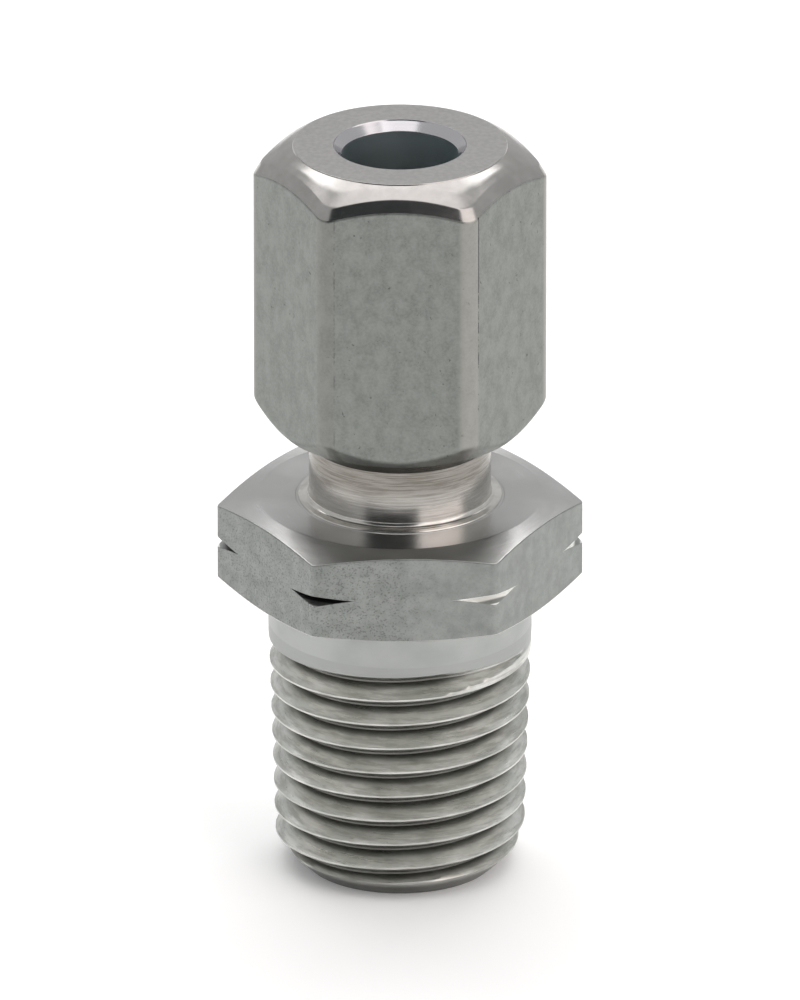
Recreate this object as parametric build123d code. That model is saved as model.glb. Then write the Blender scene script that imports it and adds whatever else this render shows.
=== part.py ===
from build123d import *
import os
from math import atan, ceil, cos, degrees, radians, tan

# A stainless tube coupling that screws into a taper pipe thread. The fitting body ends below in
# that thread, a cutting ring sits in the 24 degree cone at its top, and a union nut holds the ring
# down. Lengths are in millimetres, z runs up the axis from the pipe thread's end face, and a flat
# of the body's hexagon faces the front, which is -Y.

# Pipe thread end: a taper thread of 60 degree form, eighteen turns to the inch
pipe_pitch = 25.4 / 18
pipe_end_radius = 6.63        # over the crests, at the end face
pipe_taper = 1 / 32           # what the radius gains over each unit of height
pipe_flank_angle = 30         # between each flank and the plane across the axis
pipe_crest_flat = 0.11
pipe_thread_length = 13.4     # end face to collar, measured at the front
pipe_runout_start = 15        # degrees round from the front, where the last groove turns shallow
pipe_runout_turn = 60         # degrees over which it comes out of the metal
end_chamfer = 1.47            # at 45 degrees, from the crests inwards
collar_length = 2.4

# Spanner hexagon of the body
hex_across_flats = 17.0
hex_height = 5.25
hex_corner_radius = 0.4
hex_chamfer_angle = 15
hex_chamfer_width = 0.9       # from the middle of a flat inwards
corner_mark_width = 0.82      # a turned V that only reaches the corners
corner_mark_depth = 0.75

# Neck, and the stud that carries the nut
neck_radius = 4.87
neck_length = 3.2
neck_foot_chamfer = 0.45      # at 45 degrees
stud_diameter = 11.9          # over the crests of the nut's thread
stud_length = 6.15
stud_chamfer = 0.7

# Inside of the body
tube_diameter = 6.0
socket_clearance = 0.09       # round the tube, on the radius
socket_depth = 7.0            # body's top face to the shoulder that stops the tube
cone_mouth_diameter = 8.1
cone_half_angle = 12
flow_bore_diameter = 4.0
flow_bore_chamfer = 0.25

# Cutting ring
ring_length = 8.5
ring_bore_clearance = 0.05    # round the tube, on the radius
ring_nose_wall = 0.55
ring_body_wall = 1.15
ring_collar_wall = 1.75
ring_back_wall = 0.3
ring_collar_start = 5.1       # from the nose
first_edge_length = 0.25
first_relief_length = 1.35
second_edge_length = 0.3
second_relief_length = 1.2
ring_relief_depth = 0.28
ring_cone_play = 0.03         # nose to cone, on the radius
ring_seat_play = 0.05         # back to the nut's seat, along the axis

# Union nut
nut_across_flats = 13.8       # takes a 14 spanner, and is under size as pressed nuts are
nut_length = 15.9
nut_corner_radius = 1.1
nut_turn = -2.8               # degrees by which its flats stand off the body's
nut_top_chamfer = 1.3         # from the middle of a flat inwards
nut_top_chamfer_angle = 30
nut_base_chamfer = 0.4        # at 45 degrees
nut_roof_length = 3.95        # bore above the seat
nut_bore_clearance = 0.1      # round the tube, on the radius
nut_countersink_width = 0.46
nut_countersink_depth = 0.5
nut_thread_clearance = 0.08   # round the stud, on the radius
nut_thread_depth = 8.3
nut_entry_chamfer = 0.3
nut_chamber_clearance = 0.2   # round the ring's collar, on the radius

# Room by which a cutting shape runs past the surface that it cuts
overshoot = 1.0
groove_overshoot = 0.06

# Heights and radii that follow from the sizes above
pipe_flank_slope = tan(radians(pipe_flank_angle))
pipe_groove_width = pipe_pitch - pipe_crest_flat
pipe_groove_depth = pipe_groove_width / 2 / pipe_flank_slope
collar_radius = pipe_end_radius + pipe_taper * pipe_thread_length
hex_base = pipe_thread_length + collar_length
hex_top = hex_base + hex_height
stud_base = hex_top + neck_length
body_top = stud_base + stud_length

tube_radius = tube_diameter / 2
stud_radius = stud_diameter / 2
cone_radius = cone_mouth_diameter / 2
cone_slope = tan(radians(cone_half_angle))

ring_bore_radius = tube_radius + ring_bore_clearance
ring_nose_radius = ring_bore_radius + ring_nose_wall
ring_collar_radius = ring_bore_radius + ring_collar_wall
ring_back_radius = ring_bore_radius + ring_back_wall
ring_nose = body_top - (cone_radius - ring_nose_radius - ring_cone_play) / cone_slope
ring_back = ring_nose + ring_length

nut_bore_radius = tube_radius + nut_bore_clearance
nut_chamber_radius = ring_collar_radius + nut_chamber_clearance
nut_seat_top = ring_back + ring_seat_play + ring_back_radius - nut_bore_radius
nut_top = nut_seat_top + nut_roof_length
nut_base = nut_top - nut_length


def turned(*points):
    """A solid turned about the z axis, from points of radius and height."""
    outline = Polyline(*points, close=True)
    return revolve(Plane.XZ * make_face(outline), Axis.Z)


def corner_reach(across_flats, corner_radius):
    """How far from the axis the rounded corners of a hexagon reach."""
    return (across_flats / 2 - corner_radius) / cos(radians(30)) + corner_radius


def rounded_hexagon(across_flats, corner_radius, base, top):
    """A hexagonal bar with rounded corners, two of them on the x axis."""
    section = RegularPolygon(across_flats / 2, 6, major_radius=False)
    section = fillet(section.vertices(), corner_radius)
    return Pos(0, 0, base) * extrude(section, top - base)


def thread_rail(radius, height, slope, turns, angle):
    """A right-hand helix on a cone, from this radius and height, the angle taken from the front."""
    cone_angle = atan(slope)
    rail = Edge.make_helix(
        pipe_pitch / cos(cone_angle), turns * pipe_pitch, radius, angle=degrees(cone_angle)
    )
    return Pos(0, 0, height) * Rot(0, 0, angle - 90) * rail


def groove_stretch(radius, height, slope, turns, angle):
    """The three long edges of the groove's V section, the root's first."""
    depth = pipe_groove_depth + groove_overshoot
    half_mouth = depth * pipe_flank_slope
    section = [(0, 0), (depth, -half_mouth), (depth, half_mouth)]
    return [
        thread_rail(radius + out, height + up, slope, turns, angle) for out, up in section
    ]


def skin(rails):
    """The three ruled faces between neighbouring edges of one stretch."""
    return [Face.make_surface_from_curves(rails[n - 1], rails[n]) for n in range(3)]


def cap(rails, end):
    """The flat face across the groove at one end of a stretch, 0 for its start and 1 for its end."""
    return Face(Wire.make_polygon([rail @ end for rail in rails], close=True))


def pipe_thread_groove():
    """What the thread cutter takes away: a tapered V helix that climbs out of the metal at its top."""
    front_height = pipe_thread_length - pipe_groove_width / 2
    whole_turns = ceil(front_height / pipe_pitch + 0.5)
    turns = whole_turns + pipe_runout_start / 360
    runout_turns = pipe_runout_turn / 360

    start_height = front_height - whole_turns * pipe_pitch
    start_radius = pipe_end_radius - pipe_groove_depth + pipe_taper * start_height
    climb = turns * pipe_pitch
    main = groove_stretch(start_radius, start_height, pipe_taper, turns, 0)
    leave_slope = (pipe_groove_depth + 2 * groove_overshoot) / (runout_turns * pipe_pitch)
    leave_radius = start_radius + pipe_taper * climb
    leave_height = start_height + climb
    runout = groove_stretch(leave_radius, leave_height, leave_slope, runout_turns, pipe_runout_start)
    return Solid(Shell(skin(main) + skin(runout) + [cap(main, 0), cap(runout, 1)]))


def pipe_end():
    """The chamfered taper blank of the pipe thread and the plain collar above it."""
    chamfer_height = end_chamfer / (1 - pipe_taper)
    return turned(
        (0, 0),
        (pipe_end_radius - end_chamfer, 0),
        (pipe_end_radius + pipe_taper * chamfer_height, chamfer_height),
        (collar_radius, pipe_thread_length),
        (collar_radius, hex_base),
        (0, hex_base),
    )


def spanner_hexagon():
    """The body's hexagon, chamfered both sides, with the turned mark across its corners."""
    reach = corner_reach(hex_across_flats, hex_corner_radius)
    face_radius = hex_across_flats / 2 - hex_chamfer_width
    chamfer_drop = (reach + overshoot - face_radius) * tan(radians(hex_chamfer_angle))
    envelope = turned(
        (0, hex_base),
        (face_radius, hex_base),
        (reach + overshoot, hex_base + chamfer_drop),
        (reach + overshoot, hex_top - chamfer_drop),
        (face_radius, hex_top),
        (0, hex_top),
    )
    middle = (hex_base + hex_top) / 2
    mark_half_width = corner_mark_width / 2 * (1 + overshoot / corner_mark_depth)
    corner_mark = turned(
        (reach - corner_mark_depth, middle),
        (reach + overshoot, middle - mark_half_width),
        (reach + overshoot, middle + mark_half_width),
    )
    bar = rounded_hexagon(hex_across_flats, hex_corner_radius, hex_base, hex_top)
    return (bar & envelope) - corner_mark


def neck_and_stud():
    """The undercut neck with its chamfered foot, and the blank of the nut's thread above it."""
    foot_radius = neck_radius + neck_foot_chamfer
    return turned(
        (0, hex_base),
        (foot_radius, hex_base),
        (foot_radius, hex_top),
        (neck_radius, hex_top + neck_foot_chamfer),
        (neck_radius, stud_base),
        (stud_radius, stud_base + stud_radius - neck_radius),
        (stud_radius, body_top - stud_chamfer),
        (stud_radius - stud_chamfer, body_top),
        (0, body_top),
    )


def body_bore():
    """Flow bore, tube socket with its stop, and the 24 degree cone, as one cutting shape."""
    flow_radius = flow_bore_diameter / 2
    socket_radius = tube_radius + socket_clearance
    stop_height = body_top - socket_depth
    cone_foot = body_top - (cone_radius - socket_radius) / cone_slope
    return turned(
        (0, -overshoot),
        (flow_radius + flow_bore_chamfer + overshoot, -overshoot),
        (flow_radius, flow_bore_chamfer),
        (flow_radius, stop_height),
        (socket_radius, stop_height),
        (socket_radius, cone_foot),
        (cone_radius + cone_slope * overshoot, body_top + overshoot),
        (0, body_top + overshoot),
    )


def fitting_body():
    """The body, turned from one hexagon bar."""
    blank = pipe_end() + spanner_hexagon() + neck_and_stud()
    return blank - body_bore() - pipe_thread_groove()


def cutting_ring():
    """The ring with two cutting edges in its bore, a slim nose and a 45 degree back."""
    profile = []
    edge_foot = ring_nose
    for edge, relief in (
        (first_edge_length, first_relief_length),
        (second_edge_length, second_relief_length),
    ):
        relief_end = edge_foot + edge + relief
        profile += [
            (ring_bore_radius, edge_foot),
            (ring_bore_radius, edge_foot + edge),
            (ring_bore_radius + ring_relief_depth, edge_foot + edge),
            (ring_bore_radius + ring_relief_depth, relief_end),
        ]
        edge_foot = relief_end
    shoulder_height = ring_nose + ring_collar_start
    profile += [
        (ring_bore_radius, edge_foot),
        (ring_bore_radius, ring_back),
        (ring_back_radius, ring_back),
        (ring_collar_radius, ring_back - (ring_collar_radius - ring_back_radius)),
        (ring_collar_radius, shoulder_height),
        (ring_bore_radius + ring_body_wall, shoulder_height - (ring_collar_wall - ring_body_wall)),
        (ring_nose_radius, ring_nose),
    ]
    return turned(*profile)


def nut_outside():
    """The nut's hexagon with rounded corners, a 30 degree top and a chamfered foot."""
    flat_radius = nut_across_flats / 2
    wide = corner_reach(nut_across_flats, nut_corner_radius) + overshoot
    top_slope = tan(radians(nut_top_chamfer_angle))
    envelope = turned(
        (0, nut_base),
        (flat_radius - nut_base_chamfer, nut_base),
        (wide, nut_base + nut_base_chamfer + wide - flat_radius),
        (wide, nut_top - (wide - flat_radius + nut_top_chamfer) * top_slope),
        (flat_radius - nut_top_chamfer, nut_top),
        (0, nut_top),
    )
    return rounded_hexagon(nut_across_flats, nut_corner_radius, nut_base, nut_top) & envelope


def nut_bore():
    """Entry, thread bore, ring chamber, 45 degree seat and tube bore, as one cutting shape."""
    thread_radius = stud_radius + nut_thread_clearance
    countersink_slope = nut_countersink_width / nut_countersink_depth
    return turned(
        (0, nut_base - overshoot),
        (thread_radius + nut_entry_chamfer + overshoot, nut_base - overshoot),
        (thread_radius, nut_base + nut_entry_chamfer),
        (thread_radius, nut_base + nut_thread_depth),
        (nut_chamber_radius, nut_base + nut_thread_depth),
        (nut_chamber_radius, nut_seat_top + nut_bore_radius - nut_chamber_radius),
        (nut_bore_radius, nut_seat_top),
        (nut_bore_radius, nut_top - nut_countersink_depth),
        (nut_bore_radius + countersink_slope * (nut_countersink_depth + overshoot), nut_top + overshoot),
        (0, nut_top + overshoot),
    )


def union_nut():
    """The union nut, pressed and turned from one piece."""
    return Rot(0, 0, nut_turn) * (nut_outside() - nut_bore())


os.makedirs("parts", exist_ok=True)
for name, piece in (
    ("fitting_body", fitting_body()),
    ("cutting_ring", cutting_ring()),
    ("union_nut", union_nut()),
):
    export_step(piece, f"parts/{name}.step")
    print(name, "volume", round(piece.volume, 2), "heights",
          round(piece.bounding_box().min.Z, 2), round(piece.bounding_box().max.Z, 2))
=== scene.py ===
import math

import bmesh
import bpy
import numpy as np
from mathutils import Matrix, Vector


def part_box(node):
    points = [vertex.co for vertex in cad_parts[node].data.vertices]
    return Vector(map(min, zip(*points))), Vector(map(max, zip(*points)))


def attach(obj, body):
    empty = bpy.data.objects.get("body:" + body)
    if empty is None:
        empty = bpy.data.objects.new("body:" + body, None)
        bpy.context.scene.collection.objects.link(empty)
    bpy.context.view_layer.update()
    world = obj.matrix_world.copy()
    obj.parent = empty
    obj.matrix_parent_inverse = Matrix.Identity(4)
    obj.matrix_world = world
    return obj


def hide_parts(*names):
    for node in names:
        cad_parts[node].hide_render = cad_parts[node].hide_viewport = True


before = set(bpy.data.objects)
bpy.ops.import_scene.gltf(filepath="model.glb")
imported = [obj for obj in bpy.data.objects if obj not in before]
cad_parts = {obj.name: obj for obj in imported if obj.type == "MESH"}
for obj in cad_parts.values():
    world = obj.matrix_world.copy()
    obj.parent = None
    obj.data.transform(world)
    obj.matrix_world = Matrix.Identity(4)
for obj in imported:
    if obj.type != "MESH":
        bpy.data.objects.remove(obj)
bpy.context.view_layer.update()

# The fitting body: one piece of stainless hexagon bar, turned at both ends. A taper pipe thread is cut
# below, a fine thread for the union nut above, and a shiny turned neck and a satin spanner hexagon
# lie between them. A bore runs through it, with a cone at its top that the cutting ring is pressed into.

mm = 0.001
columns = 300                 # round each piece, closer together at the hexagons' corners
corner_crowding = 0.85


class Nodes:
    """A node tree in the making."""

    def __init__(self, tree):
        self.tree = tree

    def put(self, kind, settings=None, inputs=None, output=0):
        """Adds one node: its own settings first, then what its sockets hold or are linked to."""
        node = self.tree.nodes.new(kind)
        for name, value in (settings or {}).items():
            setattr(node, name, value)
        for name, value in (inputs or {}).items():
            if isinstance(value, Reading):
                self.tree.links.new(value.socket, node.inputs[name])
            else:
                node.inputs[name].default_value = value
        return Reading(self, node.outputs[output])


class Reading:
    """What comes out of a node. Sums written with it add Math nodes."""

    def __init__(self, nodes, socket):
        self.nodes = nodes
        self.socket = socket

    def also(self, output):
        """Another output of the same node."""
        return Reading(self.nodes, self.socket.node.outputs[output])

    def math(self, operation, *others):
        inputs = dict(enumerate((self, *others)))
        return self.nodes.put("ShaderNodeMath", {"operation": operation}, inputs)

    def swapped(self, operation, other):
        return self.nodes.put("ShaderNodeMath", {"operation": operation}, {0: other, 1: self})

    def __add__(self, other):
        return self.math("ADD", other)

    def __sub__(self, other):
        return self.math("SUBTRACT", other)

    def __mul__(self, other):
        return self.math("MULTIPLY", other)

    def __truediv__(self, other):
        return self.math("DIVIDE", other)

    def __radd__(self, other):
        return self.swapped("ADD", other)

    def __rsub__(self, other):
        return self.swapped("SUBTRACT", other)

    def rise(self, low, high):
        """0 below low, 1 above high, and a smooth step between them; low may be the larger one."""
        if low > high:
            return 1 - self.rise(high, low)
        limits = {"Value": self, "From Min": low, "From Max": high}
        return self.nodes.put("ShaderNodeMapRange", {"interpolation_type": "SMOOTHSTEP"}, limits)


def thread_tree():
    """Cuts a screw thread: a grid whose rows are spirals, so that its last column meets its first."""
    tree = bpy.data.node_groups.new("screw_thread", "GeometryNodeTree")
    tree.interface.new_socket("Geometry", in_out="INPUT", socket_type="NodeSocketGeometry")
    tree.interface.new_socket("Geometry", in_out="OUTPUT", socket_type="NodeSocketGeometry")
    whole = ("Columns", "Rows", "Rows a turn")
    sizes = (
        "Crowding", "Pitch", "Crest radius", "Taper", "Crest flat", "Groove depth", "Outside",
        "First height", "Low", "Low radius", "Low slope", "High", "High radius", "High slope",
        "Run-out from", "Run-out to", "Burr", "Burr seed",
    )
    for name in whole:
        tree.interface.new_socket(name, in_out="INPUT", socket_type="NodeSocketInt")
    for name in sizes:
        tree.interface.new_socket(name, in_out="INPUT", socket_type="NodeSocketFloat")
    tree.interface.new_socket("Material", in_out="INPUT", socket_type="NodeSocketMaterial")

    nodes = Nodes(tree)
    given = nodes.put("NodeGroupInput")
    asked = {name: given.also(name) for name in (*whole, *sizes, "Material")}
    pitch, outside = asked["Pitch"], asked["Outside"]

    index = nodes.put("GeometryNodeInputIndex")
    column = (index / asked["Rows"]).math("FLOOR")
    row = index - column * asked["Rows"]
    even_angle = column / asked["Columns"] * math.tau
    angle = even_angle - (even_angle * 6).math("SINE") * asked["Crowding"] / 6
    turn = angle / math.tau

    # Where a row lies in the thread's form doesn't change along it
    form = (row + 0.5) / asked["Rows a turn"]
    groove = form.math("FLOOR")
    off_centre = (form - groove - 0.5).math("ABSOLUTE") * pitch
    half_mouth = (pitch - asked["Crest flat"]) / 2
    flank = (half_mouth - off_centre) / math.tan(math.radians(30))
    depth = flank.math("MINIMUM", asked["Groove depth"])
    gone = (groove + turn - asked["Run-out from"]) / (asked["Run-out to"] - asked["Run-out from"])
    gone = gone.math("MAXIMUM", 0.0).math("MINIMUM", 1.0)
    depth = (depth - gone * asked["Groove depth"]).math("MAXIMUM", 0.0)

    height = asked["First height"] + (row / asked["Rows a turn"] + turn) * pitch
    height = height.math("MAXIMUM", asked["Low"]).math("MINIMUM", asked["High"])
    above, below = height - asked["Low"], asked["High"] - height
    radius = outside * (asked["Crest radius"] + height * asked["Taper"]) - depth
    low_end = outside * asked["Low radius"] + above * asked["Low slope"]
    high_end = outside * asked["High radius"] + below * asked["High slope"]
    radius = radius.math("MINIMUM", low_end).math("MINIMUM", high_end) * outside

    # A cut crest is never quite even
    away = above.math("MINIMUM", below) / pitch * 3
    on_crest = 1 - (depth / (0.1 * mm)).math("MINIMUM", 1.0)
    place = nodes.put(
        "ShaderNodeCombineXYZ", None,
        {0: angle.math("COSINE") * radius, 1: angle.math("SINE") * radius, 2: height},
    )
    burr = nodes.put(
        "ShaderNodeTexNoise", {"noise_dimensions": "4D"},
        {"Vector": place, "W": asked["Burr seed"], "Scale": 2600.0, "Detail": 3.0},
    )
    burr = (burr - 0.62) * asked["Burr"] * on_crest * away.math("MINIMUM", 1.0) * outside
    radius = radius + burr
    place = nodes.put(
        "ShaderNodeCombineXYZ", None,
        {0: angle.math("COSINE") * radius, 1: angle.math("SINE") * radius, 2: height},
    )
    grid = nodes.put(
        "GeometryNodeMeshGrid", None,
        {"Vertices X": asked["Columns"] + 1, "Vertices Y": asked["Rows"]},
    )
    made = nodes.put("GeometryNodeSetPosition", None, {"Geometry": grid, "Position": place})
    made = nodes.put("GeometryNodeMergeByDistance", None, {"Geometry": made, "Distance": 0.001 * mm})
    made = nodes.put("GeometryNodeRealizeInstances", None, {"Geometry": made})
    made = nodes.put(
        "GeometryNodeSetMaterial", None, {"Geometry": made, "Material": asked["Material"]}
    )
    end = tree.nodes.new("NodeGroupOutput")
    tree.links.new(made.socket, end.inputs["Geometry"])
    return tree


cut_thread = thread_tree()


def thread_mesh(name, material, pitch, rows_a_turn, groove_height, low, high, run_out=None, **sizes):
    """One thread as a plain mesh. A groove's middle passes the front, -Y, at groove_height.

    run_out gives how many degrees past the front that groove begins and ends its climb out."""
    front_turn = 0.75
    first = groove_height - (0.5 + front_turn) * pitch
    grooves_below = math.ceil((first - low) / pitch + 1)
    first -= grooves_below * pitch
    rows = math.ceil((high - first) / pitch * rows_a_turn) + 2
    values = {
        "Columns": columns, "Rows": rows, "Rows a turn": rows_a_turn, "Crowding": corner_crowding,
        "Pitch": pitch, "First height": first, "Low": low, "High": high, "Material": material,
        "Run-out from": 1000.0, "Run-out to": 1001.0, "Outside": 1.0, "Taper": 0.0,
    }
    if run_out:
        begins, ends = (grooves_below + front_turn + degrees / 360 for degrees in run_out)
        values.update({"Run-out from": begins, "Run-out to": ends})
    values.update({key.replace("_", " "): value for key, value in sizes.items()})
    holder = bpy.data.objects.new(name, bpy.data.meshes.new(name))
    bpy.context.scene.collection.objects.link(holder)
    modifier = holder.modifiers.new("thread", "NODES")
    modifier.node_group = cut_thread
    for item in cut_thread.interface.items_tree:
        if item.in_out == "INPUT" and item.name in values:
            modifier[item.identifier] = values[item.name]
    bpy.context.view_layer.update()
    evaluated = holder.evaluated_get(bpy.context.evaluated_depsgraph_get())
    mesh = bpy.data.meshes.new_from_object(evaluated)
    bpy.data.objects.remove(holder)
    return mesh


even = np.arange(columns) * math.tau / columns
around = even - corner_crowding / 6 * np.sin(6 * even)      # the angle of each column


def hexagon_reach(across_flats, corner_radius):
    """How far from the axis a hexagonal bar with rounded corners reaches, at each column."""
    from_corner = np.abs((around + math.pi / 6) % (math.pi / 3) - math.pi / 6)
    flat = across_flats / 2 / np.cos(math.pi / 6 - from_corner)
    centre = (across_flats / 2 - corner_radius) / math.cos(math.pi / 6)
    inside = np.maximum(corner_radius**2 - (centre * np.sin(from_corner)) ** 2, 0)
    rounded = centre * np.cos(from_corner) + np.sqrt(inside)
    on_flat = across_flats / 2 * np.tan(math.pi / 6 - from_corner)
    return np.where(on_flat < (across_flats / 2 - corner_radius) * math.tan(math.pi / 6), flat, rounded)


def corner(radius, height, rounding=0.0, finish=0, rim=None):
    """One corner of a turned outline, with the finish of what follows it; None leaves a gap there.

    Its rounding has the finish of what leads to it, unless rim gives another."""
    point = np.stack(np.broadcast_arrays(radius, height, around)[:2], axis=1).astype(float)
    return point, rounding, finish, rim


def rounded_rows(before, point, after, rounding):
    """The rows of points that round one corner, never taking more than its sides allow.

    One more row stands close by on each side, so that shading stays flat up to the rounding."""
    sides = [before - point, after - point]
    lengths = [np.linalg.norm(side, axis=1, keepdims=True) for side in sides]
    sides = [side / np.maximum(length, 1e-12) for side, length in zip(sides, lengths)]
    room = np.minimum(*lengths)
    beside = np.minimum(0.03 * mm, 0.04 * room)
    if not rounding:
        return [point + sides[0] * beside, point, point + sides[1] * beside]
    half = np.arccos(np.clip((sides[0] * sides[1]).sum(1, keepdims=True), -0.9999, 0.9999)) / 2
    reach = np.minimum(rounding / np.tan(half), 0.45 * room)
    middle = sides[0] + sides[1]
    middle /= np.maximum(np.linalg.norm(middle, axis=1, keepdims=True), 1e-12)
    centre = point + middle * reach / np.cos(half)
    arms = [point + side * reach - centre for side in sides]
    swing = math.pi - 2 * half
    steps = 3 if rounding < 0.1 * mm else 6
    rows = [point + sides[0] * (reach + beside)]
    for step in range(steps + 1):
        part = step / steps
        weights = np.sin((1 - part) * swing), np.sin(part * swing)
        rows.append(centre + (arms[0] * weights[0] + arms[1] * weights[1]) / np.sin(swing))
    rows.append(point + sides[1] * (reach + beside))
    return rows


def turned_piece(name, outline, threads, finishes, turned_by=0.0):
    """A closed piece from its turned outline, round which it runs once, and its thread meshes."""
    mesh = bmesh.new()
    for thread in threads:
        mesh.from_mesh(thread)
        bpy.data.meshes.remove(thread)
    rows = []
    for at, (point, rounding, finish, rim) in enumerate(outline):
        leading = outline[at - 1]
        if finish is None or leading[2] is None:
            rows.append((point, finish))
            continue
        made = rounded_rows(leading[0], point, outline[(at + 1) % len(outline)][0], rounding)
        rim = leading[2] if rim is None else rim
        finishes_here = [leading[2]] + [rim if rounding else finish] * (len(made) - 3) + [finish, finish]
        rows += zip(made, finishes_here)
    rings = []
    for row, _ in rows:
        places = np.column_stack([row[:, 0] * np.cos(around), row[:, 0] * np.sin(around), row[:, 1]])
        rings.append([mesh.verts.new(place) for place in places])
    for at, ring in enumerate(rings):
        finish = rows[at][1]
        if finish is None:
            continue
        following = rings[(at + 1) % len(rings)]
        for n in range(columns):
            around_face = (ring[n], ring[(n + 1) % columns], following[(n + 1) % columns], following[n])
            mesh.faces.new(around_face).material_index = finish
    bmesh.ops.remove_doubles(mesh, verts=mesh.verts, dist=0.0005 * mm)
    bmesh.ops.dissolve_degenerate(mesh, edges=mesh.edges, dist=0.0002 * mm)
    loose = [vertex for vertex in mesh.verts if not vertex.link_faces]
    bmesh.ops.delete(mesh, geom=loose, context="VERTS")
    open_edges = sum(not edge.is_manifold for edge in mesh.edges)
    bmesh.ops.recalc_face_normals(mesh, faces=mesh.faces)
    turn = math.radians(turned_by)
    for vertex in mesh.verts:
        x, y, z = vertex.co
        vertex.co = (x * math.cos(turn) - y * math.sin(turn), x * math.sin(turn) + y * math.cos(turn), z)
    data = bpy.data.meshes.new(name)
    mesh.to_mesh(data)
    mesh.free()
    for finish in finishes:
        data.materials.append(finish)
    data.shade_smooth()
    data.set_sharp_from_angle(angle=math.radians(35))
    piece = bpy.data.objects.new(name, data)
    bpy.context.scene.collection.objects.link(piece)
    print(name, "faces", len(data.polygons), "open edges", open_edges)
    return piece


class Steel:
    """One finish of stainless steel: its nodes, and where on the piece a point lies, in millimetres."""

    def __init__(self, name):
        self.material = bpy.data.materials.new(name)
        self.material.use_nodes = True
        self.nodes = Nodes(self.material.node_tree)
        self.shader = self.material.node_tree.nodes["Principled BSDF"]
        self.shader.inputs["Metallic"].default_value = 1.0
        here = self.nodes.put("ShaderNodeTexCoord", output="Object")
        axes = self.nodes.put("ShaderNodeSeparateXYZ", None, {"Vector": here})
        self.x, self.y, self.z = (axes.also(axis) / mm for axis in "XYZ")
        self.radius = (self.x * self.x + self.y * self.y).math("SQRT")
        self.turn = self.x.math("ARCTAN2", 0 - self.y) * math.degrees(1)    # from the front, to the right

    def noise(self, x, y, z, detail=3.0, roughness=0.5, place=(1.0, 1.0, 1.0)):
        """Noise from 0 to 1, with this many grains to a millimetre along each direction."""
        along = [self.x * x, self.y * y, self.z * z]
        along = [value + shift for value, shift in zip(along, place)]
        vector = self.nodes.put("ShaderNodeCombineXYZ", None, dict(enumerate(along)))
        inputs = {"Vector": vector, "Scale": 1.0, "Detail": detail, "Roughness": roughness}
        return self.nodes.put("ShaderNodeTexNoise", None, inputs)

    def rings(self, fineness, wander=0.25):
        """Fine concentric tool marks on a face across the axis."""
        x, y = self.x * wander, self.y * wander
        vector = self.nodes.put("ShaderNodeCombineXYZ", None, {0: x, 1: y, 2: self.radius * fineness})
        return self.nodes.put("ShaderNodeTexNoise", None, {"Vector": vector, "Scale": 1.0, "Detail": 2.0})

    def shade(self, mask, first, second):
        """A colour between two, either of which may be a colour or a link."""
        sockets = {0: mask, 6: first, 7: second}
        return self.nodes.put("ShaderNodeMix", {"data_type": "RGBA"}, sockets, output=2)

    def off_corner(self, first_corner):
        """Degrees round the axis to the nearest of a hexagon's corners, one of which is given."""
        return (self.turn - first_corner + 360).math("PINGPONG", 30.0)

    def wear(self, colour=None, roughness=None, relief=None, depth=1.0):
        """Feeds the shader. depth is how deep the relief's range of 0 to 1 is, in micrometres."""
        if colour is not None:
            self.feed("Base Color", colour)
        if roughness is not None:
            self.feed("Roughness", roughness)
        if relief is not None:
            bump = {"Height": relief, "Distance": depth * 1e-6, "Strength": 1.0}
            self.feed("Normal", self.nodes.put("ShaderNodeBump", None, bump))
        return self.material

    def feed(self, socket, value):
        if isinstance(value, Reading):
            self.nodes.tree.links.new(value.socket, self.shader.inputs[socket])
        else:
            self.shader.inputs[socket].default_value = value


def grey(level, red=0.0, blue=0.0):
    """A steel grey in linear light, with a share more or less red and blue than green."""
    return (level * (1 + red), level, level * (1 + blue), 1.0)


# Pipe thread
pipe_pitch = 25.4 / 18 * mm
pipe_crest_radius = 6.63 * mm         # at the end face
pipe_taper = 1 / 32
pipe_thread_length = 13.4 * mm
pipe_groove_at_front = 12.75 * mm
pipe_end_chamfer = 1.47 * mm
collar_radius = pipe_crest_radius + pipe_taper * pipe_thread_length
thread_top = 13.9 * mm                # clear of the last groove, inside the collar


def thread_finish():
    """Flanks streaked by the threading tool, with painted shade darkening them towards the roots; the
    cone above is left uncut.
    """
    steel = Steel("threaded_steel")
    crest = pipe_crest_radius / mm + steel.z * pipe_taper
    depth = crest - steel.radius
    past_thread = steel.z.rise(12.6, 12.9)
    stain = steel.noise(0.5, 0.5, 0.7, 4.0)
    lines = steel.noise(0.3, 0.3, 14.0, 3.0, 0.65)
    streak = steel.noise(0.45, 0.45, 6.0, 4.0, 0.7, (3.0, 6.0, 2.0)).rise(0.40, 0.66)
    # Painted shade darkens the flanks towards the roots of the grooves.
    root_shade = depth.rise(0.5, 1.0) * 0.8
    clean = steel.shade(stain.rise(0.35, 0.65), grey(0.54, -0.02, -0.06), grey(0.68, 0.0, -0.04))
    clean = steel.shade(streak * 0.5, clean, grey(0.24, 0.04, -0.1))
    colour = steel.shade(root_shade, clean, grey(0.08, 0.0, -0.1))
    uncut = depth.rise(0.1, 0.03) * past_thread
    colour = steel.shade(uncut, colour, grey(0.38, -0.03, -0.03))
    return steel.wear(colour, 0.18 + lines * 0.16 + stain * 0.08 + uncut * 0.14, lines, 7.0)


def collar_finish():
    """The plain collar, turned fine and pale."""
    steel = Steel("collar_steel")
    lines = steel.noise(0.15, 0.15, 12.0, 3.0, 0.6)
    cloud = steel.noise(0.45, 0.45, 0.6, 3.0)
    colour = steel.shade(cloud.rise(0.3, 0.7), grey(0.38, -0.04, -0.03), grey(0.43, -0.03, -0.03))
    return steel.wear(colour, 0.36 + lines * 0.12, lines, 2.0)


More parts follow.
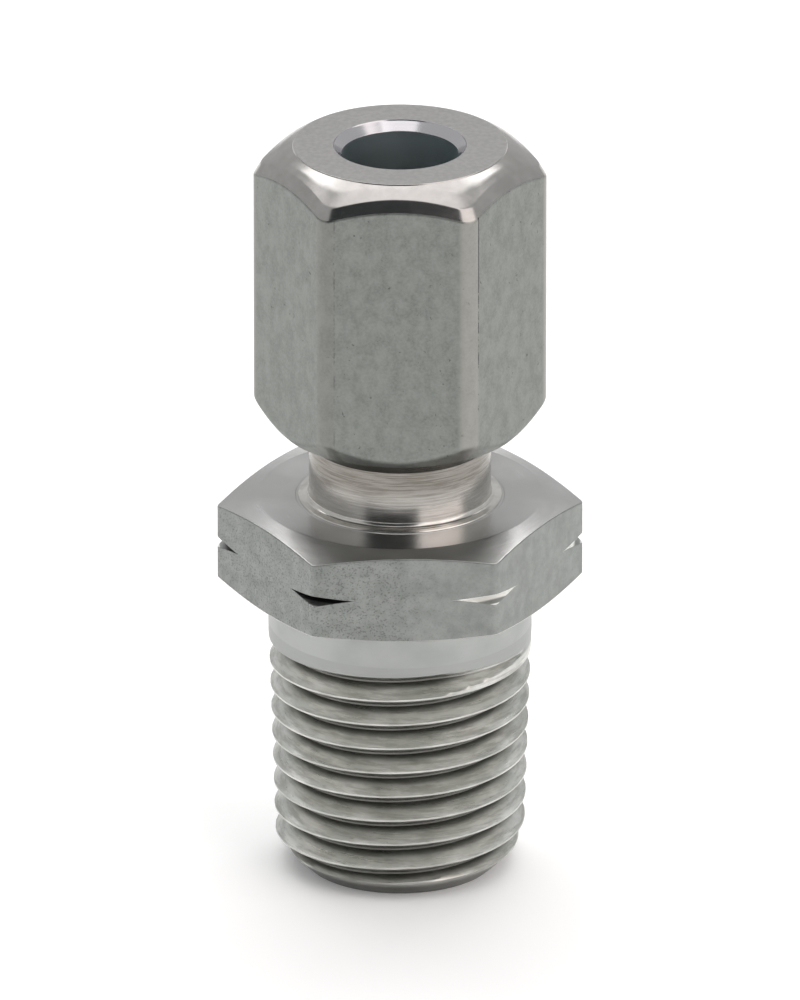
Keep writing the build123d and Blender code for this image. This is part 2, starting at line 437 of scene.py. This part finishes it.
def flats_finish():
    """The bar's own drawn surface: grey, finely pitted, and brushed towards one side."""
    steel = Steel("hexagon_flat_steel")
    mottle = steel.noise(1.1, 1.1, 1.1, 5.0, 0.62)
    pits = steel.noise(8.5, 8.5, 9.5, 3.0, 0.7, (7.0, 3.0, 5.0))
    brushed = steel.noise(0.6, 0.6, 11.0, 3.0, 0.6)
    to_one_side = (steel.x + mottle * 4).rise(0.0, 4.5)
    pit = pits.rise(0.48, 0.36) * (1 - to_one_side * 0.75)
    base = steel.shade(mottle.rise(0.3, 0.7), grey(0.25, -0.05, -0.05), grey(0.33, -0.04, -0.04))
    colour = steel.shade(pit * 0.55, base, grey(0.11, -0.05, -0.05))
    relief = brushed * 0.35 * to_one_side + (1 - pit) * 0.9 + mottle * 0.4
    return steel.wear(colour, 0.36 + mottle * 0.14 + pit * 0.1, relief, 6.0)


def hexagon_face_finish():
    """The hexagon's turned faces, smooth and pale."""
    steel = Steel("hexagon_face_steel")
    rings = steel.rings(9.0)
    cloud = steel.noise(0.3, 0.3, 0.3, 3.0)
    colour = steel.shade(cloud.rise(0.3, 0.7), grey(0.45, 0.01, -0.02), grey(0.52, 0.01, -0.01))
    return steel.wear(colour, 0.17 + rings * 0.1 + cloud * 0.05, rings, 1.2)


def mark_finish():
    """The turned mark across the corners, with painted shade at its root on the left, a painted highlight
    there on the right, and a painted highlight along its lower lip.
    """
    steel = Steel("mark_steel")
    lines = steel.noise(0.4, 0.4, 14.0, 3.0, 0.6)
    below = mark_height / mm - steel.z + (lines - 0.5) * 0.05
    # Painted shade at the mark's root on the left, and a painted highlight there on the right.
    root = steel.shade(steel.x.rise(-1.5, 1.5), grey(0.10, 0.0, 0.0), grey(0.95, 0.0, -0.02))
    colour = steel.shade(below.rise(0.17, 0.11), grey(0.30, -0.04, -0.04), root)
    # A painted highlight along the lower lip.
    colour = steel.shade(below.rise(0.24, 0.28), colour, grey(0.90, 0.0, 0.0))
    return steel.wear(colour, 0.42, lines, 6.0)


def neck_finish():
    """The undercut neck, turned bright and streaked, with painted shade darkening it towards the nut."""
    steel = Steel("neck_steel")
    rings = steel.noise(0.2, 0.2, 7.0, 3.0, 0.6)
    stain = steel.noise(0.8, 0.8, 1.3, 4.0, 0.6, (3.0, 9.0, 4.0))
    colour = steel.shade(stain.rise(0.35, 0.7), grey(0.56, 0.03, -0.06), grey(0.66, 0.03, -0.04))
    streak = steel.noise(0.5, 0.5, 13.0, 3.0, 0.65, (2.0, 5.0, 1.0)).rise(0.42, 0.62)
    # Painted shade under the nut, mixed with the streaks, darkens the neck from mid neck up.
    shade_under_nut = (steel.z + stain * 0.9).rise(22.3, 23.9)      # from mid neck up
    colour = steel.shade(shade_under_nut * 0.72 + streak * 0.2, colour, grey(0.13, 0.10, -0.16))
    return steel.wear(colour, 0.12 + rings * 0.10 + stain * 0.06, rings, 3.2)


def bore_finish():
    """Bored walls, duller than the outside."""
    steel = Steel("bored_steel")
    rings = steel.noise(0.2, 0.2, 6.0, 3.0, 0.6)
    return steel.wear(grey(0.74, -0.10, 0.02), 0.24 + rings * 0.16, rings, 3.0)


body_low, body_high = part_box("fitting_body")
hex_across_flats = body_high.y - body_low.y
hex_corner_radius = 0.4 * mm
hex_reach = hexagon_reach(hex_across_flats, hex_corner_radius)
hex_base = 15.8 * mm
hex_top = 21.05 * mm
hex_chamfer = 0.9 * mm                # where it starts, in from the flats
hex_chamfer_slope = math.tan(math.radians(15))
hex_face_radius = hex_across_flats / 2 - hex_chamfer
hex_drop = (hex_reach - hex_face_radius) * hex_chamfer_slope
mark_floor = 8.93 * mm                # its root, from the axis
mark_slope = 0.36                     # half its height, for its depth
mark_half = np.maximum(hex_reach - mark_floor, 0) * mark_slope
mark_radius = np.minimum(hex_reach, mark_floor)
mark_height = (hex_base + hex_top) / 2

neck_radius = 4.87 * mm
neck_fillet = 0.3 * mm
neck_skirt_radius = 5.45 * mm         # the skirt round the neck's foot slopes down to here
neck_skirt_height = 0.1 * mm
neck_line_radius = 5.58 * mm          # a fine turned line outside the skirt
neck_line_depth = 0.03 * mm
stud_base = 24.25 * mm
body_top = body_high.z
nut_pitch = 1.5 * mm
stud_radius = 5.95 * mm
stud_end_radius = 4.95 * mm
nut_groove_at_front = 30.0 * mm
cone_mouth_radius = 4.05 * mm
cone_depth = 4.52 * mm
socket_radius = 3.09 * mm
socket_depth = 7 * mm
flow_bore_radius = 2.0 * mm
flow_bore_chamfer = 0.25 * mm

pipe_thread = thread_mesh(
    "pipe_thread", None, pipe_pitch, 14, pipe_groove_at_front, 0.0, thread_top,
    Crest_radius=pipe_crest_radius, Taper=pipe_taper, Crest_flat=0.11 * mm, Groove_depth=1.1 * mm,
    Low_radius=pipe_crest_radius - pipe_end_chamfer, Low_slope=1.0,
    High_radius=collar_radius, High_slope=0.0, Burr=0.06 * mm, Burr_seed=4.0, run_out=(15, 75),
)
stud_thread = thread_mesh(
    "stud_thread", None, nut_pitch, 12, nut_groove_at_front, stud_base, body_top,
    Crest_radius=stud_radius, Crest_flat=0.19 * mm, Groove_depth=0.92 * mm,
    Low_radius=neck_radius, Low_slope=1.0,
    High_radius=stud_end_radius, High_slope=1.0,
    Burr=0.02 * mm, Burr_seed=9.0,
)
threaded, collar_turned, flats, faces_turned, neck_turned, bored, marked = range(7)
body_outline = [
    corner(collar_radius, thread_top, 0.0, collar_turned),
    corner(collar_radius, hex_base, 0.08 * mm, faces_turned),
    corner(hex_face_radius, hex_base, 0.04 * mm, faces_turned),
    corner(hex_reach, hex_base + hex_drop, 0.07 * mm, flats),
    corner(hex_reach, mark_height - mark_half, 0.02 * mm, marked),
    corner(mark_radius, mark_height, 0.02 * mm, marked),
    corner(hex_reach, mark_height + mark_half, 0.02 * mm, flats),
    corner(hex_reach, hex_top - hex_drop, 0.07 * mm, faces_turned),
    corner(hex_face_radius, hex_top, 0.3 * mm, faces_turned),
    corner(neck_line_radius + neck_line_depth, hex_top, 0.01 * mm, faces_turned),
    corner(neck_line_radius, hex_top - neck_line_depth, 0.01 * mm, faces_turned),
    corner(neck_line_radius - neck_line_depth, hex_top, 0.01 * mm, faces_turned),
    corner(neck_skirt_radius, hex_top, 0.01 * mm, neck_turned),
    corner(neck_skirt_radius - 0.02 * mm, hex_top + 0.6 * neck_skirt_height, 0.02 * mm, neck_turned),
    corner(neck_radius, hex_top + neck_skirt_height, neck_fillet, neck_turned),
    corner(neck_radius, stud_base, 0.0, None),
    corner(stud_end_radius, body_top, 0.0, faces_turned),
    corner(cone_mouth_radius, body_top, 0.04 * mm, bored),
    corner(socket_radius, body_top - cone_depth, 0.05 * mm, bored),
    corner(socket_radius, body_top - socket_depth, 0.04 * mm, bored),
    corner(flow_bore_radius, body_top - socket_depth, 0.04 * mm, bored),
    corner(flow_bore_radius, flow_bore_chamfer, 0.04 * mm, bored),
    corner(flow_bore_radius + flow_bore_chamfer, 0.0, 0.03 * mm, faces_turned),
    corner(pipe_crest_radius - pipe_end_chamfer, 0.0, 0.0, None),
]
fitting = turned_piece(
    "fitting", body_outline, [pipe_thread, stud_thread],
    [thread_finish(), collar_finish(), flats_finish(), hexagon_face_finish(), neck_finish(),
     bore_finish(), mark_finish()],
)
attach(fitting, "body")
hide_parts("fitting_body")

# The cutting ring: turned from a harder stainless bar, with two cutting edges in its bore. It stands
# with its nose in the body's cone, and the nut's seat presses on its back.

ring_low, ring_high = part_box("cutting_ring")


def ring_finish():
    """Turned and left a little darker by hardening."""
    steel = Steel("cutting_ring_steel")
    lines = steel.noise(0.2, 0.2, 9.0, 3.0, 0.6)
    cloud = steel.noise(0.7, 0.7, 0.9, 3.0)
    colour = steel.shade(cloud.rise(0.3, 0.7), grey(0.40, 0.03), grey(0.5, 0.05))
    return steel.wear(colour, 0.2 + lines * 0.15, lines, 3.0)


ring_bore_radius = 3.05 * mm
ring_relief_radius = ring_bore_radius + 0.28 * mm
ring_outline = [corner(ring_bore_radius, ring_low.z, 0.02 * mm)]
edge_foot = ring_low.z
for edge_length, relief_length in ((0.25 * mm, 1.35 * mm), (0.3 * mm, 1.2 * mm)):
    relief_end = edge_foot + edge_length + relief_length
    ring_outline += [
        corner(ring_bore_radius, edge_foot + edge_length, 0.02 * mm),
        corner(ring_relief_radius, edge_foot + edge_length, 0.03 * mm),
        corner(ring_relief_radius, relief_end, 0.03 * mm),
        corner(ring_bore_radius, relief_end, 0.02 * mm),
    ]
    edge_foot = relief_end
ring_shoulder = ring_low.z + 5.1 * mm
ring_collar_radius = ring_high.x
ring_back_radius = ring_bore_radius + 0.3 * mm
ring_body_radius = ring_bore_radius + 1.15 * mm
ring_outline += [
    corner(ring_bore_radius, ring_high.z, 0.05 * mm),
    corner(ring_back_radius, ring_high.z, 0.05 * mm),
    corner(ring_collar_radius, ring_high.z - (ring_collar_radius - ring_back_radius), 0.1 * mm),
    corner(ring_collar_radius, ring_shoulder, 0.1 * mm),
    corner(ring_body_radius, ring_shoulder - 0.6 * mm, 0.1 * mm),
    corner(ring_bore_radius + 0.55 * mm, ring_low.z, 0.04 * mm),
]
ring = turned_piece("ring", ring_outline, [], [ring_finish()])
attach(ring, "ring_carrier")
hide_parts("cutting_ring")

# The union nut: pressed from stainless bar to a dull grey-green hexagon with soft corners, then turned
# on top and bored. Its thread draws the ring into the body's cone; its bore lets the tube through.

nut_low, nut_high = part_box("union_nut")
nut_turn = -2.8               # degrees by which its flats stand off the body's
nut_across_flats = 13.8 * mm
nut_flat_radius = nut_across_flats / 2
nut_corner_radius = 1.1 * mm
nut_reach = hexagon_reach(nut_across_flats, nut_corner_radius)
nut_corner = 30 + nut_turn    # degrees to the right of the front, and half its rounding below
nut_corner_half = 30 - math.degrees(
    math.atan((nut_flat_radius - nut_corner_radius) * math.tan(math.radians(30)) / nut_flat_radius)
)
nut_foot_chamfer = 0.4 * mm
nut_foot_radius = nut_flat_radius - nut_foot_chamfer
nut_foot_rise = nut_reach - nut_foot_radius
nut_top_chamfer = 1.3 * mm
nut_top_radius = nut_flat_radius - nut_top_chamfer
nut_step = 0.06 * mm          # the top face stands this much proud of the chamfer and the countersink
nut_step_run = 0.03 * mm
nut_face_radius = nut_top_radius + 0.09 * mm
nut_chamfer_slope = math.tan(math.radians(30))
nut_rim_width = 0.4 * mm      # between the chamfer and the flats a steeper band rolls over the edge
nut_rim_height = 0.69 * mm
nut_rim_radius = nut_reach - nut_rim_width
nut_rim_top = nut_high.z - (nut_rim_radius - nut_top_radius) * nut_chamfer_slope
nut_rim_foot = nut_rim_top - nut_rim_height
nut_dome = 0.05 * mm          # how far the chamfer bulges in its middle
nut_dome_radius = (nut_top_radius + nut_rim_radius) / 2
nut_dome_height = (nut_high.z + nut_rim_top) / 2 + nut_dome
nut_thread_root = 6.03 * mm
nut_thread_crest = 5.19 * mm
nut_entry = 0.3 * mm
nut_thread_end = nut_low.z + 7.3 * mm
nut_chamber_floor = nut_low.z + 8.3 * mm
nut_chamber_radius = 5.0 * mm
nut_bore_radius = 3.1 * mm
nut_countersink_radius = nut_bore_radius + 0.42 * mm
nut_countersink_depth = 0.5 * mm
nut_seat_top = nut_high.z - 3.95 * mm


def nut_flats_finish():
    """The pressed flats: dull, mottled grey-green, with small dark specks."""
    steel = Steel("nut_flat_steel")
    mottle = steel.noise(1.3, 1.3, 1.0, 6.0, 0.62)
    grain = steel.noise(7.0, 7.0, 7.0, 3.0, 0.6, (4.0, 2.0, 8.0))
    speck = steel.noise(3.2, 3.2, 3.2, 2.0, 0.5, (9.0, 5.0, 1.0)).rise(0.70, 0.76)
    base = steel.shade(mottle.rise(0.3, 0.7), grey(0.20, -0.06, -0.07), grey(0.28, -0.05, -0.06))
    base = steel.shade(grain.rise(0.35, 0.65) * 0.3, base, grey(0.36, -0.04, -0.06))
    base = steel.shade(speck * 0.7, base, grey(0.08, 0.0, -0.1))
    # Painted light at the corners: a painted highlight on those to the right and painted shade on those
    # to the left.
    # A dark line bounds the front right corner, broken lower down, and a fainter one the front left
    # corner.
    off = steel.off_corner(nut_corner) + (grain - 0.5) * 1.6 + (mottle - 0.5) * 1.5
    near_corner = off.rise(nut_corner_half + 1.2, nut_corner_half - 1.2)
    to_right = steel.x.rise(-1.0, 1.0)
    # The painted highlight on the right corners and the painted shade on the left ones.
    corner_highlight_and_shade = steel.shade(to_right, grey(0.18, 0.02, -0.06), grey(0.33, 0.06, -0.08))
    colour = steel.shade(near_corner * 0.45, base, corner_highlight_and_shade)
    broken = steel.noise(0.9, 0.9, 1.3, 4.0, 0.75, (8.0, 6.0, 2.0))
    broken = (broken + (steel.z - 32) * 0.03 * to_right).rise(0.46, 0.58)
    past_corner = steel.turn - nut_corner - nut_corner_half
    right_dark_line = (past_corner + (grain - 0.5) * 0.5).math("ABSOLUTE").rise(0.50, 0.18)
    left_dark_line = (past_corner + 60 + (grain - 0.5) * 0.7).math("ABSOLUTE").rise(0.4, 0.1)
    colour = steel.shade((right_dark_line * 0.85 + left_dark_line * 0.35) * broken, colour, grey(0.05, 0.0, 0.0))
    roughness = 0.40 + mottle * 0.14 - near_corner * 0.14
    return steel.wear(colour, roughness, grain * 0.6 + mottle * 0.4, 2.5)


def nut_chamfer_finish():
    """The turned chamfer, bright, with the grain of the pressing showing through."""
    steel = Steel("nut_chamfer_steel")
    grain = steel.noise(5.0, 5.0, 5.0, 4.0, 0.6)
    cloud = steel.noise(0.9, 0.9, 0.9, 3.0)
    colour = steel.shade(cloud.rise(0.3, 0.7), grey(0.36, 0.03, -0.04), grey(0.41, 0.04, -0.03))
    return steel.wear(colour, 0.13 + grain * 0.1 + cloud * 0.06, grain, 1.2)


def nut_top_finish():
    """The nut's faced top, an even pale grey."""
    steel = Steel("nut_top_steel")
    rings = steel.rings(8.0)
    grain = steel.noise(4.0, 4.0, 4.0, 3.0)
    colour = steel.shade(grain.rise(0.3, 0.7), grey(0.34, 0.02, -0.02), grey(0.40, 0.02, -0.02))
    return steel.wear(colour, 0.26 + rings * 0.1, rings * 0.7 + grain * 0.3, 1.5)


def countersink_finish():
    """The countersink and the bore's first stretch, cut bright."""
    steel = Steel("countersink_steel")
    rings = steel.noise(0.2, 0.2, 8.0, 3.0, 0.6)
    return steel.wear(grey(0.50, 0.02, 0.04), 0.12 + rings * 0.12, rings, 1.5)


nut_thread = thread_mesh(
    "nut_thread", None, nut_pitch, 12, nut_groove_at_front + nut_pitch / 2, nut_low.z, nut_thread_end,
    Outside=-1.0, Crest_radius=nut_thread_crest, Crest_flat=0.38 * mm, Groove_depth=0.84 * mm,
    Low_radius=nut_thread_root + nut_entry, Low_slope=1.0,
    High_radius=nut_thread_root, High_slope=1.0, Burr=0.015 * mm, Burr_seed=6.0,
)
nut_threaded, nut_flats, nut_chamfer, nut_top_face, nut_bright, nut_bored = range(6)
nut_outline = [
    corner(nut_thread_root + nut_entry, nut_low.z, 0.0, nut_top_face),
    corner(nut_foot_radius, nut_low.z, 0.05 * mm, nut_flats),
    corner(nut_reach, nut_low.z + nut_foot_rise, 0.6 * mm, nut_flats),
    corner(nut_reach, nut_rim_foot, 0.3 * mm, nut_chamfer),
    corner(nut_rim_radius, nut_rim_top, 0.4 * mm, nut_chamfer),
    corner(nut_dome_radius, nut_dome_height, 3.7 * mm, nut_chamfer),
    corner(nut_face_radius + nut_step_run, nut_high.z - nut_step, 0.01 * mm, nut_chamfer),
    corner(nut_face_radius, nut_high.z, 0.02 * mm, nut_top_face),
    corner(nut_countersink_radius + nut_step_run, nut_high.z, 0.01 * mm, nut_bright),
    corner(nut_countersink_radius, nut_high.z - nut_step, 0.01 * mm, nut_bright),
    corner(nut_bore_radius, nut_high.z - nut_countersink_depth, 0.03 * mm, nut_bored),
    corner(nut_bore_radius, nut_seat_top, 0.05 * mm, nut_bored),
    corner(nut_chamber_radius, nut_seat_top + nut_bore_radius - nut_chamber_radius, 0.1 * mm, nut_bored),
    corner(nut_chamber_radius, nut_chamber_floor, 0.05 * mm, nut_bored),
    corner(nut_thread_root, nut_chamber_floor, 0.05 * mm, nut_bored),
    corner(nut_thread_root, nut_thread_end, 0.0, None),
]
nut = turned_piece(
    "nut", nut_outline, [nut_thread],
    [thread_finish(), nut_flats_finish(), nut_chamfer_finish(), nut_top_finish(),
     countersink_finish(), bore_finish()],
    nut_turn,
)
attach(nut, "nut")
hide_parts("union_nut")

# The stage: a plain pale floor under soft light, and the camera where the photograph was taken from.
# The room is bright but for the side that the camera stands on, and brightest at a window to its right.
# A soft box hangs over the fitting, and a light behind it whitens the floor.

floor_data = bpy.data.meshes.new("floor")
half_floor = 1.5
floor_data.from_pydata(
    [(-half_floor, -half_floor, 0), (half_floor, -half_floor, 0), (half_floor, half_floor, 0),
     (-half_floor, half_floor, 0)], [], [(0, 1, 2, 3)],
)
floor = bpy.data.objects.new("floor", floor_data)
bpy.context.scene.collection.objects.link(floor)
floor_material = bpy.data.materials.new("floor")
floor_material.use_nodes = True
floor_shader = floor_material.node_tree.nodes["Principled BSDF"]
floor_shader.inputs["Base Color"].default_value = (0.93, 0.93, 0.93, 1)
floor_shader.inputs["Emission Color"].default_value = (1, 1, 1, 1)
floor_shader.inputs["Emission Strength"].default_value = 0.12
floor_shader.inputs["Roughness"].default_value = 0.8
floor_shader.inputs["Specular IOR Level"].default_value = 0.2
floor_data.materials.append(floor_material)

world = bpy.data.worlds.new("room")
bpy.context.scene.world = world
world.use_nodes = True
room = Nodes(world.node_tree)
towards = room.put(
    "ShaderNodeSeparateXYZ", None, {"Vector": room.put("ShaderNodeTexCoord", output="Generated")}
)
bearing = towards.also("X").math("ARCTAN2", 0 - towards.also("Y")) * math.degrees(1)
height = towards.also("Z")
camera_side = bearing.rise(-50, -44) * bearing.rise(24, 18) * height.rise(0.88, 0.80)
window = bearing.rise(20, 26) * bearing.rise(88, 80) * height.rise(0.02, 0.1) * height.rise(0.9, 0.8)
wall, daylight, shadow = (0.99, 1.0, 1.0, 1.0), (1.0, 0.94, 0.92, 1.0), (0.88, 1.0, 1.06, 1.0)
mixed = {"data_type": "RGBA"}
colour = room.put("ShaderNodeMix", mixed, {0: window, 6: wall, 7: daylight}, output=2)
colour = room.put("ShaderNodeMix", mixed, {0: camera_side, 6: colour, 7: shadow}, output=2)
strength = 0.64 - camera_side * 0.585 + window * 1.2
background = world.node_tree.nodes["Background"]
world.node_tree.links.new(colour.socket, background.inputs["Color"])
world.node_tree.links.new(strength.socket, background.inputs["Strength"])

soft_box = bpy.data.lights.new("soft_box", "AREA")
soft_box.shape = "RECTANGLE"
soft_box.size = 0.5
soft_box.size_y = 0.92
soft_box.energy = 1.6
soft_box.color = (1.0, 0.96, 0.96)
soft_box_object = bpy.data.objects.new("soft_box", soft_box)
bpy.context.scene.collection.objects.link(soft_box_object)
soft_box_object.location = (0, 0.14, 0.62)

back_light = bpy.data.lights.new("back_light", "AREA")
back_light.shape = "RECTANGLE"
back_light.size = 0.9
back_light.size_y = 0.3
back_light.energy = 2.2
back_light_object = bpy.data.objects.new("back_light", back_light)
bpy.context.scene.collection.objects.link(back_light_object)
back_light_object.location = (0, 0.46, 0.66)
back_light_object.rotation_euler = (-math.radians(35), 0, 0)      # tilted towards the fitting

camera_data = bpy.data.cameras.new("camera")
camera_data.lens = 1011
camera_data.sensor_width = 36
camera_data.clip_end = 10
camera = bpy.data.objects.new("camera", camera_data)
bpy.context.scene.collection.objects.link(camera)
bpy.context.scene.camera = camera
azimuth, elevation, distance = math.radians(-1.6), math.radians(22.8), 1500 * mm
look_at = Vector((0, 0, 20.68 * mm))
outwards = Vector((
    math.sin(azimuth) * math.cos(elevation), -math.cos(azimuth) * math.cos(elevation), math.sin(elevation)
))
camera.location = look_at + outwards * distance
camera.rotation_euler = (-outwards).to_track_quat("-Z", "Y").to_euler()
bpy.context.scene.view_settings.view_transform = "Standard"
